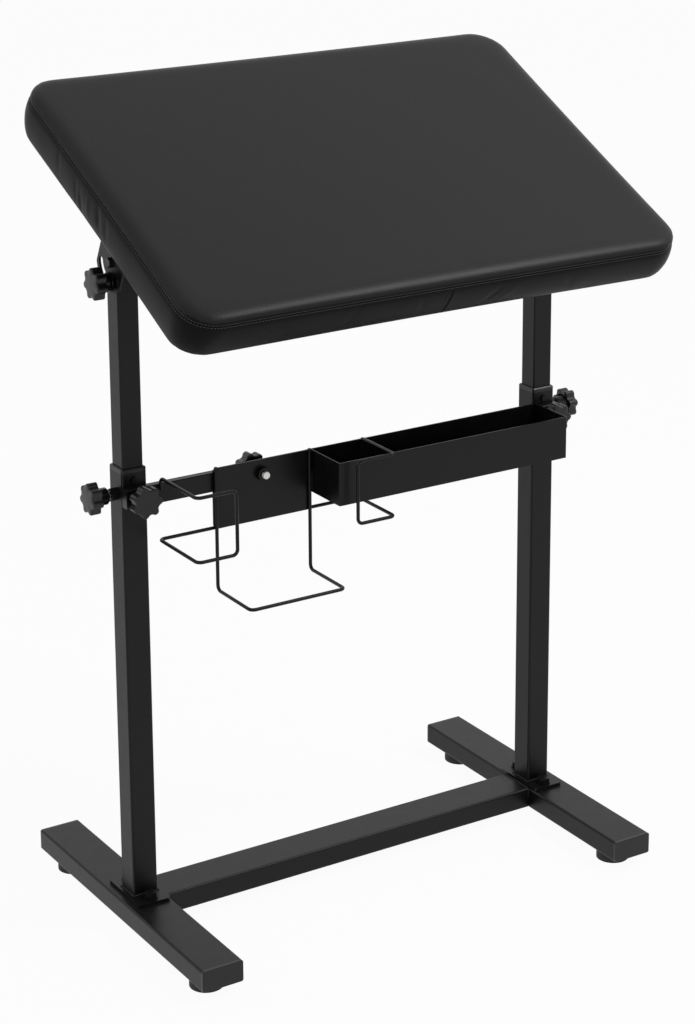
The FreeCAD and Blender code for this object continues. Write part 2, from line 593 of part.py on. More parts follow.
# Basket: a hanging loop welded to the front of the plate
basketBack = -g["railFront"] - g["rackSheet"] - g["weldGap"] - g["wireRadius"]
basketFront = -g["railFront"] - g["basketReach"]
basketTop = g["rackBottom"] + g["rackHeight"] + g["basketTop"]
basketFloor = g["knobHeight"] - g["basketDrop"]
basketArm = [(basketBack, basketTop), (basketBack, basketFloor), (basketFront, basketFloor)]
basketLeft = [FreeCAD.Vector(-g["rackOffset"] - g["basketHalf"], y, z) for y, z in basketArm]
basketRight = [FreeCAD.Vector(-g["rackOffset"] + g["basketHalf"], y, z) for y, z in reversed(basketArm)]
solidNode("basket_wire", bentWire(basketLeft + basketRight))

# Tilt brackets in the board's own frame, whose origin is the pivot
padFrame = at(0, -g["pivotForward"], g["pivotHeight"], turn(X_AXIS, g["restTilt"]))
slotRadius = math.hypot(g["pivotForward"], g["tiltKnobDrop"])
slotHalf = g["studRadius"] + g["slotGap"]
rimRadius = slotRadius + slotHalf + g["slotRim"]


def polar(radius, angle):
    return FreeCAD.Vector(g["earIn"], radius * math.sin(math.radians(angle)),
                          -radius * math.cos(math.radians(angle)))


def flatFace(*edges):
    return Part.Face(Part.Wire([edge.toShape() for edge in edges]))


earLow = -math.sqrt(rimRadius ** 2 - g["earHalf"] ** 2)
earCorners = [FreeCAD.Vector(g["earIn"], v, w) for v, w in
              ((-g["earHalf"], earLow), (g["earHalf"], earLow), (g["earHalf"], g["boardUnder"]),
               (-g["earHalf"], g["boardUnder"]))]
earFace = flatFace(Part.Arc(earCorners[0], polar(rimRadius, 0), earCorners[1]),
                   *[Part.LineSegment(earCorners[k], earCorners[(k + 1) % 4]) for k in (1, 2, 3)])
slotEnd = g["slotHalfAngle"]
outerEdge = [polar(slotRadius + slotHalf, angle) for angle in (-slotEnd, 0, slotEnd)]
innerEdge = [polar(slotRadius - slotHalf, angle) for angle in (slotEnd, 0, -slotEnd)]


def slotCap(sign):
    centre = polar(slotRadius, sign * slotEnd)
    along = FreeCAD.Vector(0, sign * math.cos(math.radians(slotEnd)), math.sin(math.radians(slotEnd)))
    return centre + along * slotHalf


slotFace = flatFace(Part.Arc(*outerEdge), Part.Arc(outerEdge[2], slotCap(1), innerEdge[0]),
                    Part.Arc(*innerEdge), Part.Arc(innerEdge[2], slotCap(-1), outerEdge[0]))
sheetOut = X_AXIS * g["bracketSheet"]
flangeFloor = g["boardUnder"] - g["bracketSheet"]
flangeIn = g["earOut"] - g["flangeWidth"]
flange = Part.makeBox(g["flangeWidth"], g["flangeLength"], g["bracketSheet"],
                      FreeCAD.Vector(flangeIn, -g["flangeLength"] / 2, flangeFloor))
pivotCut = Part.makeCylinder(g["pivotHole"], g["bracketSheet"], FreeCAD.Vector(g["earIn"], 0, 0), X_AXIS)
bracket = earFace.extrude(sheetOut).fuse(flange).removeSplitter()
bracket = bracket.cut([slotFace.extrude(sheetOut), pivotCut])
screwSpots = [(flangeIn + g["screwEdge"], sign * g["screwSpan"] / 2) for sign in (-1, 1)]
screwHoles = [Part.makeCylinder(g["screwHole"], g["bracketSheet"], FreeCAD.Vector(u, v, flangeFloor))
              for u, v in screwSpots]
bracket = bracket.cut(screwHoles)
HALF_TURN = {"left": turn(Z_AXIS, 180), "right": UPRIGHT}
bracketPlaces = {side: padFrame.multiply(at(sign * halfPosts, 0, 0, HALF_TURN[side]))
                 for side, sign in SIDES.items()}
for side, place in bracketPlaces.items():
    solidNode(side + "_tilt_bracket", bracket.copy(), place)

bracketScrew = join("Fuse", "bracketScrew",
                    hexagon("bracketScrewHead", "screwHeadAcross", "screwHeadHeight"),
                    rod("bracketScrewShank", "screwRadius", "screwLength + screwHeadHeight"))
headFloor = flangeFloor - g["screwHeadHeight"]
group("bracket_screws", bracketScrew,
      [place.multiply(at(u, v, headFloor)) for place in bracketPlaces.values() for u, v in screwSpots])

# Padded board: plywood, foam over it and a sewn cover wrapped under its edges
boardFrame = padFrame.multiply(at(0, g["padBack"], g["padLift"]))
boardBody = newBody("padBoard")
boardFace = newSketch(boardBody, "XY_Plane")
rectangle(boardFace, "boardLength", "boardDepth", "boardCorner")
grow(boardBody, "Pad", boardFace, "boardThickness")
boardHoles = newSketch(boardBody, "XY_Plane")
for sign in SIDES.values():
    for u, v in screwSpots:
        circle(boardHoles, "screwHole", sign * (halfPosts + u), v - g["padBack"])
grow(boardBody, "Pocket", boardHoles, "screwDepth", flip=True)
keep("pad_board", boardBody, boardFrame.multiply(at(0, 0, g["coverThickness"])))


WAIST_SHARE = 0.62
ROLL_STEPS = 3


# One outline of the pad: drawn-in sides joined by round corners, trimmed all round
def padOutline(share, height, trim):
    corner = g["padCorner"] + (g["seamCorner"] - g["padCorner"]) * share - trim
    halfX = g["padLength"] / 2 + g["endFlare"] * share - trim
    halfY = g["padDepth"] / 2 + g["sideFlare"] * share - trim
    inX, inY = halfX - corner, halfY - corner
    sideX = (inX ** 2 + g["drawIn"] ** 2) / (2 * g["drawIn"]) - corner
    sideY = (inY ** 2 + g["drawIn"] ** 2) / (2 * g["drawIn"]) - corner
    waists = [FreeCAD.Vector(halfX - g["drawIn"], 0, height), FreeCAD.Vector(0, halfY - g["drawIn"], height),
              FreeCAD.Vector(g["drawIn"] - halfX, 0, height), FreeCAD.Vector(0, g["drawIn"] - halfY, height)]
    edges = []
    for sx, sy in ((1, -1), (1, 1), (-1, 1), (-1, -1)):
        centre = FreeCAD.Vector(sx * inX, sy * inY, height)
        towardX = (FreeCAD.Vector(0, sy * (halfY - g["drawIn"] + sideX), height) - centre).normalize()
        towardY = (FreeCAD.Vector(sx * (halfX - g["drawIn"] + sideY), 0, height) - centre).normalize()
        middle = centre + (towardX + towardY).normalize() * corner
        ends = [centre + towardX * corner, centre + towardY * corner]
        if sx * sy > 0:
            ends.reverse()
        edges.append((ends[0], middle, ends[1]))
    shapes = []
    for k, (start, middle, end) in enumerate(edges):
        shapes.append(Part.Arc(start, middle, end).toShape())
        shapes.append(Part.Arc(end, waists[k], edges[(k + 1) % 4][0]).toShape())
    return Part.Wire(shapes)


# Share of the flare, height and inset of each level, with the crown's edge rolled over the seam
def padLevels(trim):
    roll = g["crownEdge"] - trim
    levels = [(0, 0, 0), (WAIST_SHARE, g["waistHeight"], 0)]
    for step in range(ROLL_STEPS + 1):
        angle = math.pi / 2 * step / ROLL_STEPS
        levels.append((1, g["seamHeight"] + roll * math.sin(angle), roll * (1 - math.cos(angle))))
    levels.append((1, g["crownTop"] - trim, roll + g["crownRun"]))
    return levels


# The pad's closed form, smaller all round by the trim: flared sides under a shallow crown
def padForm(trim):
    outlines = [padOutline(share, height, trim + inset) for share, height, inset in padLevels(trim)]
    loft = Part.makeLoft(outlines, True, True)
    dome = Part.makeSphere(g["crownRadius"] - trim)
    dome.Placement = at(0, 0, g["seamHeight"] + g["crownHeight"] - g["crownRadius"], turn(X_AXIS, 90))
    form = loft.common(dome)
    if trim:
        reach = 2 * g["padLength"]
        above = Part.makeBox(reach, reach, reach, FreeCAD.Vector(-g["padLength"], -g["padLength"], trim))
        form = form.common(above)
    return form


def roundedBox(length, depth, corner, floor, height):
    box = Part.makeBox(length, depth, height, FreeCAD.Vector(-length / 2, -depth / 2, floor))
    uprights = [edge for edge in box.Edges if edge.BoundBox.ZLength > height / 2]
    return box.makeFillet(corner, uprights)


outside = padForm(0)
inside = padForm(g["coverThickness"])
window = roundedBox(g["boardWindowLength"], g["boardWindowDepth"], g["boardCorner"] - g["coverMargin"],
                    -g["overrun"], g["coverThickness"] + 2 * g["overrun"])
solidNode("pad_cover", outside.cut([inside, window]), boardFrame)
boardBlock = roundedBox(g["boardLength"], g["boardDepth"], g["boardCorner"], 0, g["boardTop"])
solidNode("pad_foam", inside.cut(boardBlock), boardFrame)


# Outline of the star knob: lobes and valleys that meet in a tangent, each drawn in chords
def starOutline():
    step = 2 * math.pi / g["lobeCount"]
    across = g["lobeRadius"] + g["valleyRadius"]
    rise = math.sqrt(across ** 2 - (g["lobeCircle"] * math.sin(step / 2)) ** 2)
    valleyCircle = g["lobeCircle"] * math.cos(step / 2) + rise
    valleyHalf = math.acos(rise / across)
    lobeHalf = valleyHalf + step / 2
    points = []

    def spot(orbit, turns, radius, angle):
        return FreeCAD.Vector(orbit * math.cos(turns) + radius * math.cos(turns + angle),
                              orbit * math.sin(turns) + radius * math.sin(turns + angle))

    for k in range(int(g["lobeCount"])):
        for part in range(int(g["lobeChords"]) + 1):
            angle = lobeHalf * (2 * part / g["lobeChords"] - 1)
            points.append(spot(g["lobeCircle"], k * step, g["lobeRadius"], angle))
        for part in range(1, int(g["valleyChords"])):
            angle = math.pi + valleyHalf * (1 - 2 * part / g["valleyChords"])
            points.append(spot(valleyCircle, (k + 1 / 2) * step, g["valleyRadius"], angle))
    return points


# Star knob: the lobed head, bevelled on top and hollow underneath, on a hub with the stud's bore
def starKnob(name, hub):
    body = newBody(name)
    outline = newSketch(body, "XY_Plane", lift=g[hub])
    polygon(outline, starOutline())
    head = grow(body, "Pad", outline, "headThickness")
    bevel(body, head, "headEdge", lambda edge: level(edge, g[hub] + g["headThickness"]))
    hollow = newSketch(body, "XY_Plane", lift=g[hub])
    polygon(hollow, ring("cavityRadius", "cavitySides"))
    polygon(hollow, ring("hubRadius", "hubSides"))
    grow(body, "Pocket", hollow, "cavityDepth", flip=True)
    foot = newSketch(body, "XY_Plane")
    polygon(foot, ring("hubRadius", "hubSides"))
    grow(body, "Pad", foot, hub)
    bore = newSketch(body, "XY_Plane")
    circle(bore, "studHole")
    grow(body, "Pocket", bore, "studBite", flip=True)
    return body


def knob(label, hub, reach, place):
    keep(label + "_knob", starKnob(label + "Knob", hub), place)
    stud = doc.addObject("Part::Cylinder", label + "Stud")
    tie(stud, "Radius", "studRadius")
    stud.Height = reach + g["studBite"] - g["seatGap"]
    keep(label + "_stud", stud, place.multiply(at(0, 0, -reach)))


heightFoot = g["outerPost"] / 2 + g["heightNutHeight"] + g["heightThread"]
railFoot = g["railFront"] + g["seatGap"]
tiltSeat = g["earOut"] + g["seatGap"]
tiltFoot = tiltSeat + g["tiltWasherThickness"] + g["seatGap"]
tiltReach = tiltFoot - g["innerInside"] / 2 + g["tiltNutHeight"]
tiltWasher = bored("tiltWasher", rod("tiltWasherDisc", "tiltWasherRadius", "tiltWasherThickness"),
                   "studHole", "tiltWasherThickness")
for side, sign in SIDES.items():
    knob(side + "_height", "heightHub", heightFoot - g["innerPost"] / 2 - g["studClear"],
         at(sign * (halfPosts + heightFoot), 0, g["knobHeight"], OUTWARD[side]))
    knob(side + "_rail", "railHub", railFoot - g["outerPost"] / 2 + g["postWall"],
         at(sign * halfPosts, -railFoot, g["knobHeight"], FORWARD))
    knob(side + "_tilt", "tiltHub", tiltReach,
         at(sign * (halfPosts + tiltFoot), 0, tiltHeight, OUTWARD[side]))
group("tilt_washers", tiltWasher, onPosts(tiltSeat, 0, tiltHeight))
rackReach = g["railDepth"] + g["seatGap"] + g["rackSheet"] + g["rackNutHeight"] + g["rackStudEnd"]
knob("rack", "rackHub", rackReach,
     at(-g["rackOffset"], g["seatGap"] - g["outerPost"] / 2, g["knobHeight"], BACKWARD))

doc.recompute()

# The origin lies on the floor under the middle of the whole stand
front = min(point.y for point in doc.getObject("pad_cover").Shape.tessellate(g["seatGap"])[0])
shift = at(0, -(front + g["footLength"] / 2) / 2)
for item in nodes:
    item.Placement = shift.multiply(item.Placement)
doc.recompute()
print("pad front", front, "shift", shift.Base.y)

bad = [item.Name for item in doc.Objects if "Invalid" in item.State or "Error" in item.State]
bad += [item.Label for item in nodes if item.Shape.isNull() or not item.Shape.isValid()]
if bad:
    raise RuntimeError("failed: " + ", ".join(bad))
os.makedirs("parts", exist_ok=True)
for item in nodes:
    item.Shape.exportStep("parts/%s.step" % item.Label)
print("nodes", len(nodes), "solids", sum(len(item.Shape.Solids) for item in nodes))
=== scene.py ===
import json
import math

import bmesh
import bpy
from mathutils import Matrix, Vector, noise


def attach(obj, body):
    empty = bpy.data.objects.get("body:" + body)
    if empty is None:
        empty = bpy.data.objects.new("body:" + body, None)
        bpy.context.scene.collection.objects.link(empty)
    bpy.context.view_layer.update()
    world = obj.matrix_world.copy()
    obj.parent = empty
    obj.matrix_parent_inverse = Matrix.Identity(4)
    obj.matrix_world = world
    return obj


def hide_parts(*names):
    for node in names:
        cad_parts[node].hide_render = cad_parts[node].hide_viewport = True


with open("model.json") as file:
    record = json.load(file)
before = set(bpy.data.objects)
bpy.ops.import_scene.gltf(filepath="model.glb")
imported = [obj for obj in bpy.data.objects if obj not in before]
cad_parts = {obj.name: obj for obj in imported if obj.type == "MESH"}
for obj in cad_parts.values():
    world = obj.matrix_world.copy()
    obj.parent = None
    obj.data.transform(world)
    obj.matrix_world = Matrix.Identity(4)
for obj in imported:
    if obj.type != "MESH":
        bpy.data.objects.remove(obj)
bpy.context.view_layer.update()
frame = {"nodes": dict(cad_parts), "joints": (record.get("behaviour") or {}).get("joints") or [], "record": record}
scene = bpy.context.scene
pivot = Vector(next(joint["pos_m"] for joint in frame["joints"] if joint["name"] == "pad_tilt"))

# The pad's pivot stands a little in front of the posts' middle line, which postLine places in the frame
pivotForward = 0.005
postLine = pivot.y + pivotForward

# Edges sharper than this stay crisp on the knobs and wires
crispAngle = math.radians(50)
print("frame loaded,", len(frame["nodes"]), "nodes")


# Materials

# One output of a shader node. Sums and products of fields make maths nodes
class Field:
    def __init__(self, wiring, socket):
        self.wiring = wiring
        self.socket = socket

    def maths(self, operation, other):
        return self.wiring.node("ShaderNodeMath", {"operation": operation}, {0: self, 1: other})

    def __add__(self, other):
        return self.maths("ADD", other)

    __radd__ = __add__

    def __mul__(self, other):
        return self.maths("MULTIPLY", other)

    __rmul__ = __mul__


class Wiring:
    def __init__(self, tree):
        self.tree = tree

    # Links each field to its input, and sets each plain value on it
    def plug(self, made, inputs):
        for key, value in inputs.items():
            if isinstance(value, Field):
                self.tree.links.new(value.socket, made.inputs[key])
            else:
                made.inputs[key].default_value = value

    def node(self, kind, settings, inputs, output=0):
        made = self.tree.nodes.new(kind)
        for word, value in settings.items():
            setattr(made, word, value)
        self.plug(made, inputs)
        return Field(self, made.outputs[output])

    # One for the rays that see the plain background: from the camera, off a glossy surface or through glass
    def seen(self):
        camera, glossy, through = (self.node("ShaderNodeLightPath", {}, {}, "Is %s Ray" % word)
                                   for word in ("Camera", "Glossy", "Transmission"))
        return self.node("ShaderNodeMath", {"operation": "ADD", "use_clamp": True},
                         {0: camera + glossy, 1: through})

    # Two shaders blended by a field, as what an output node shows
    def showMix(self, output, share, first, second):
        mixed = self.node("ShaderNodeMixShader", {}, {0: share, 1: first, 2: second})
        self.tree.links.new(mixed.socket, self.tree.nodes[output].inputs["Surface"])


class Finish(Wiring):
    def __init__(self, name):
        self.material = bpy.data.materials.new(name)
        self.material.use_nodes = True
        super().__init__(self.material.node_tree)
        self.shader = self.tree.nodes["Principled BSDF"]
        self.place = self.node("ShaderNodeTexCoord", {}, {}, "Object")

    def grain(self, scale, detail):
        return self.node("ShaderNodeTexNoise", {}, {"Vector": self.place, "Scale": scale, "Detail": detail})

    # A look's dark and pale colours, blended by a field
    def blend(self, look, share):
        return self.node("ShaderNodeMix", {"data_type": "RGBA"},
                         {0: share, 6: (*look["dark"], 1), 7: (*look["pale"], 1)}, 2)

    def bump(self, height, depth):
        return self.node("ShaderNodeBump", {}, {"Height": height, "Distance": depth, "Strength": 1.0})

    def feed(self, inputs):
        self.plug(self.shader, inputs)
        return self.material


# In these looks a pair is a noise's scale and detail, the spread is the most that one noise adds to the
# roughness, and depths are in metres
coat = {
    "dark": (0.0026, 0.0026, 0.0027), "pale": (0.0048, 0.0048, 0.0050), "peel": (700, 3), "blotch": (60, 4),
    "roughness": 0.30, "spread": 0.12, "specular": 0.21, "depth": 0.00012}


def powderCoat():
    finish = Finish("powderCoat")
    peel = finish.grain(*coat["peel"])
    blotch = finish.grain(*coat["blotch"])
    return finish.feed({
        "Base Color": finish.blend(coat, blotch),
        "Roughness": coat["roughness"] + coat["spread"] * blotch,
        "Specular IOR Level": coat["specular"],
        "Normal": finish.bump(peel, coat["depth"])})


plastic = {
    "dark": (0.0050, 0.0050, 0.0053), "pale": (0.0090, 0.0090, 0.0094), "fine": (1500, 2), "wide": (125, 3),
    "roughness": 0.24, "spread": 0.14, "specular": 0.35, "depth": 0.00006}


def mouldedPlastic():
    finish = Finish("mouldedPlastic")
    fine = finish.grain(*plastic["fine"])
    wide = finish.grain(*plastic["wide"])
    return finish.feed({
        "Base Color": finish.blend(plastic, wide),
        "Roughness": plastic["roughness"] + plastic["spread"] * wide,
        "Specular IOR Level": plastic["specular"],
        "Normal": finish.bump(fine, plastic["depth"])})


# A wave texture turns by waveTurn radians over one unit at a scale of one
waveTurn = 20
zinc = {
    "dark": (0.50, 0.50, 0.49), "pale": (0.76, 0.76, 0.74), "darkShare": 0.07, "cloud": (380, 3),
    "roughness": 0.28, "spread": 0.16, "depth": 0.00005, "pitch": 0.00125, "threadDepth": 0.0007}


# Zinc-plated steel: plain, with a stud's thread along one axis, or with its colours brought down to a share
def zincSteel(name, axis=None, share=1.0):
    finish = Finish(name)
    cloud = finish.grain(*zinc["cloud"])
    look = {key: [share * value for value in zinc[key]] for key in ("dark", "pale")}
    inputs = {"Base Color": finish.blend(look, cloud), "Metallic": 1.0,
              "Roughness": zinc["roughness"] + zinc["spread"] * cloud}
    if axis:
        scale = 2 * math.pi / zinc["pitch"] / waveTurn
        wave = finish.node("ShaderNodeTexWave", {"bands_direction": axis, "wave_profile": "TRI"},
                           {"Vector": finish.place, "Scale": scale, "Distortion": 0.0})
        inputs["Normal"] = finish.bump(wave, zinc["threadDepth"])
    else:
        inputs["Normal"] = finish.bump(cloud, zinc["depth"])
    return finish.feed(inputs)


rubber = {
    "dark": (0.008, 0.008, 0.008), "pale": (0.018, 0.018, 0.018), "fine": (900, 3), "dust": (90, 3),
    "roughness": 0.62, "spread": 0.2, "depth": 0.0001}


def rubberFoot():
    finish = Finish("blackRubber")
    fine = finish.grain(*rubber["fine"])
    dust = finish.grain(*rubber["dust"])
    return finish.feed({
        "Base Color": finish.blend(rubber, dust),
        "Roughness": rubber["roughness"] + rubber["spread"] * fine,
        "Normal": finish.bump(fine, rubber["depth"])})


wood = {
    "dark": (0.30, 0.19, 0.10), "pale": (0.52, 0.37, 0.22), "squeeze": (6, 60, 60), "scale": 4.0,
    "detail": 8.0, "twist": 0.6, "roughness": 0.6, "spread": 0.15, "depth": 0.0003}


def plywood():
    finish = Finish("plywood")
    squeezed = finish.node("ShaderNodeMapping", {}, {"Vector": finish.place, "Scale": wood["squeeze"]})
    fibre = finish.node("ShaderNodeTexNoise", {}, {"Vector": squeezed, "Scale": wood["scale"],
                                                   "Detail": wood["detail"], "Distortion": wood["twist"]})
    return finish.feed({
        "Base Color": finish.blend(wood, fibre),
        "Roughness": wood["roughness"] + wood["spread"] * fibre,
        "Normal": finish.bump(fibre, wood["depth"])})


# The band's shine is lower than the top's as painted shade: the band is the same leather, made less shiny so that
# it renders darker
leather = {
    "dark": (0.0048, 0.0048, 0.0050), "pale": (0.0072, 0.0072, 0.0074), "wide": (14, 3),
    "pebble": 850, "softness": 0.6, "pebblesPerCrease": 3, "creaseDetail": 4, "pebbleShare": 0.7,
    "creaseShare": 0.6, "roughness": 0.37, "spread": 0.05, "depth": 0.00014,
    "topShine": 0.19, "bandShadeShine": 0.07}


def artificialLeather(name, shine):
    finish = Finish(name)
    pebble = finish.node("ShaderNodeTexVoronoi", {"feature": "SMOOTH_F1"},
                         {"Vector": finish.place, "Scale": leather["pebble"],
                          "Smoothness": leather["softness"]})
    crease = finish.grain(leather["pebble"] / leather["pebblesPerCrease"], leather["creaseDetail"])
    wide = finish.grain(*leather["wide"])
    height = pebble * leather["pebbleShare"] + crease * leather["creaseShare"]
    return finish.feed({
        "Base Color": finish.blend(leather, wide),
        "Roughness": leather["roughness"] + leather["spread"] * wide + leather["spread"] * crease,
        "Specular IOR Level": shine,
        "Normal": finish.bump(height, leather["depth"])})


# The thread's colour is partly its own black and partly painted highlight: it is lifted to a pale grey so that the
# stitch rows show as light lines
yarn = {
    "dark": (0.030, 0.030, 0.031), "pale": (0.068, 0.068, 0.069), "twist": (2500, 2),
    "roughness": 0.55, "spread": 0.2, "depth": 0.0001}


def thread():
    finish = Finish("threadWithPaintedHighlight")
    twist = finish.grain(*yarn["twist"])
    return finish.feed({
        "Base Color": finish.blend(yarn, twist),
        "Roughness": yarn["roughness"] + yarn["spread"] * twist,
        "Normal": finish.bump(twist, yarn["depth"])})


foam = {
    "dark": (0.45, 0.40, 0.28), "pale": (0.62, 0.57, 0.42), "cells": (1400, 2),
    "roughness": 0.85, "spread": 0.1, "depth": 0.0004}


def foamBlock():
    finish = Finish("upholsteryFoam")
    cells = finish.grain(*foam["cells"])
    return finish.feed({
        "Base Color": finish.blend(foam, cells),
        "Roughness": foam["roughness"] + foam["spread"] * cells,
        "Normal": finish.bump(cells, foam["depth"])})


finishes = {
    "black_steel": powderCoat(),
    "black_plastic": mouldedPlastic(),
    "zinc_steel": zincSteel("zincSteel"),
    "rubber": rubberFoot(),
    "plywood": plywood(),
    "leather": artificialLeather("artificialLeather", leather["topShine"]),
    "foam": foamBlock()}
zincAlongX = zincSteel("zincStudX", "X")
zincAlongY = zincSteel("zincStudY", "Y")
# A copy of the zinc with its colours brought down to a small share, for the parts that are nearly black
zincDarkened = zincSteel("zincDarkened", share=zinc["darkShare"])
# A less shiny copy of the leather paints shade on the band and on the roll's lower edge
shadedBandLeather = artificialLeather("shadedBandLeather", leather["bandShadeShine"])
# The thread whose pale grey paints the stitches' highlight
threadWithPaintedHighlight = thread()

# The rail and rack knobs' studs run front to back and the others across. The pivot's bolts and the tilt
# washers are nearly black in the photograph
for part in frame["record"]["subparts"]:
    word = part["node"]
    material = finishes[part["material_slot"]]
    if word.endswith("_stud"):
        material = zincAlongY if "rail" in word or "rack" in word else zincAlongX
    if word in ("pivot_bolts", "tilt_washers"):
        material = zincDarkened
    materials = frame["nodes"][word].data.materials
    if materials:
        for index in range(len(materials)):
            materials[index] = material
    else:
        materials.append(material)
print("materials set")


# Shared helpers for meshes and pieces

def newPiece(name, data):
    piece = bpy.data.objects.new(name, data)
    scene.collection.objects.link(piece)
    return piece


def meshFrom(shape, name):
    mesh = bpy.data.meshes.new(name)
    shape.to_mesh(mesh)
    shape.free()
    return mesh


# Faces between each ring of vertices and the next, which has as many
def skin(shape, rings):
    for low, high in zip(rings, rings[1:]):
        for k in range(len(low)):
            after = (k + 1) % len(low)
            shape.faces.new((low[k], low[after], high[after], high[k]))


def evaluatedMesh(piece):
    graph = bpy.context.evaluated_depsgraph_get()
    return bpy.data.meshes.new_from_object(piece.evaluated_get(graph))


# Makes the result of a piece's modifiers its own mesh, and removes them
def settled(piece):
    mesh = evaluatedMesh(piece)
    piece.modifiers.clear()
    piece.data = mesh
    return piece


def smooth(piece):
    piece.data.polygons.foreach_set("use_smooth", [True] * len(piece.data.polygons))
    return piece


def dress(piece, material, body):
    piece.data.materials.clear()
    piece.data.materials.append(material)
    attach(piece, body)


# A curve through one or more lines, each a list of points and whether it closes
def lineCurve(name, lines):
    curve = bpy.data.curves.new(name, "CURVE")
    curve.dimensions = "3D"
    for points, closed in lines:
        spline = curve.splines.new("POLY")
        spline.points.add(len(points) - 1)
        for point, co in zip(spline.points, points):
            point.co = (*co, 1)
        spline.use_cyclic_u = closed
    return curve


# A smooth piece from what a guide's curve and modifiers make, with the guide removed
def pieceFrom(guide, name):
    mesh = evaluatedMesh(guide)
    bpy.data.objects.remove(guide)
    return smooth(newPiece(name, mesh))


# A matrix from the directions of its three axes and its place
def placing(first, second, third, place):
    return Matrix([(first[k], second[k], third[k], place[k]) for k in range(3)] + [(0, 0, 0, 1)])


# Pad cover

# Lengths are in metres, heights are above the underside and the tilt is in degrees. Steps are those of a side
# and of a corner. The crown's rings go towards the middle: a share of the edge's size, and of the rise
pad = {
    "tilt": 26, "back": 0.007, "lift": 0.0288,
    "length": 0.617, "depth": 0.407, "corner": 0.034, "seamCorner": 0.040, "steps": (28, 10),
    "endFlare": 0.003, "sideFlare": 0.0098, "drawIn": 0.0015, "seam": 0.0463,
    "belly": 0.0012, "cornerBelly": 0.0022, "tuck": 0.0014, "shrink": 0.0008,
    "rollLift": 0.002, "rollRise": 0.00882, "rollIn": 0.0002, "rollRun": 0.013, "rollSteps": 7,
    "rollSwell": 0.1, "crown": 0.0570, "crownRings": ((0.85, 0.45), (0.6, 0.8), (0.3, 1.0)),
    "voxel": 0.0052, "pressure": 4.0, "stiffness": 25, "foam": 0.15, "seamHold": 0.6, "cap": 0.0015,
    "frames": 20, "windowInset": 0.017, "windowCorner": 0.019, "windowSteps": (1, 6), "windowBelow": 0.01,
    "pit": 0.004, "bandOverSeam": 0.0042}
padPlace = Matrix.Translation(pivot) @ Matrix.Rotation(math.radians(pad["tilt"]), 4, "X")
padPlace = padPlace @ Matrix.Translation((0, pad["back"], pad["lift"]))

# The band's levels up to the seam: how far it has flared out, its height, how far it is drawn in, and the
# corners' swell
bandLevels = [
    (0, 0.0, 0.006, 0.0), (0, 0.0015, 0.0022, 0.0), (0.08, 0.005, 0.0, 0.3),
    (0.30, 0.012, -0.7 * pad["belly"], 0.8), (0.58, 0.024, -pad["belly"], 1.0),
    (0.82, 0.035, -0.6 * pad["belly"], 0.6), (0.95, 0.0435, 0.4 * pad["tuck"], 0.2),
    (1, pad["seam"], pad["tuck"], 0.0)]


# Points round the pad at one level, with drawn-in sides and round corners
def outline(halfX, halfY, corner, steps, drawIn=0.0, cornerOut=0.0):
    perSide, perCorner = steps
    points = []
    for turn in range(4):
        half, out = (halfX, halfY) if turn % 2 == 0 else (halfY, halfX)
        angle = math.pi / 2 * turn
        for step in range(perSide):
            share = -1 + 2 * step / perSide
            points.append((share * (half - corner), -out + drawIn * (1 - share ** 2), angle))
        for step in range(perCorner):
            bend = math.pi / 2 * step / perCorner
            reach = corner + cornerOut * math.sin(2 * bend)
            points.append((half - corner + reach * math.sin(bend), corner - out - reach * math.cos(bend),
                           angle))
    return [(x * math.cos(a) - y * math.sin(a), x * math.sin(a) + y * math.cos(a)) for x, y, a in points]


# The roll above the seam, with levels in the same terms as the band's
def rollLevels():
    levels = []
    for step in range(pad["rollSteps"] + 1):
        angle = math.pi / 2 * step / pad["rollSteps"]
        height = pad["seam"] + pad["rollLift"] + pad["rollRise"] * math.sin(angle)
        levels.append((1, height, pad["rollIn"] + pad["rollRun"] * (1 - math.cos(angle)), pad["rollSwell"]))
    return levels


def padBlank():
    shape = bmesh.new()
    rings = []
    for share, height, inset, swell in bandLevels + rollLevels():
        trim = inset + pad["shrink"]
        corner = pad["corner"] + (pad["seamCorner"] - pad["corner"]) * share - trim
        halfX = pad["length"] / 2 + pad["endFlare"] * share - trim
        halfY = pad["depth"] / 2 + pad["sideFlare"] * share - trim
        around = outline(halfX, halfY, corner, pad["steps"], pad["drawIn"], swell * pad["cornerBelly"])
        rings.append([shape.verts.new((x, y, height)) for x, y in around])
    skin(shape, rings)
    shape.faces.new(rings[0][::-1])
    edge = rings[-1]
    level = edge[0].co.z
    inner = edge
    for scale, rise in pad["crownRings"]:
        height = level + (pad["crown"] - level) * rise
        ring = [shape.verts.new((vertex.co.x * scale, vertex.co.y * scale, height)) for vertex in edge]
        skin(shape, [inner, ring])
        inner = ring
    shape.faces.new(inner)
    return newPiece("padCover", meshFrom(shape, "padCover"))


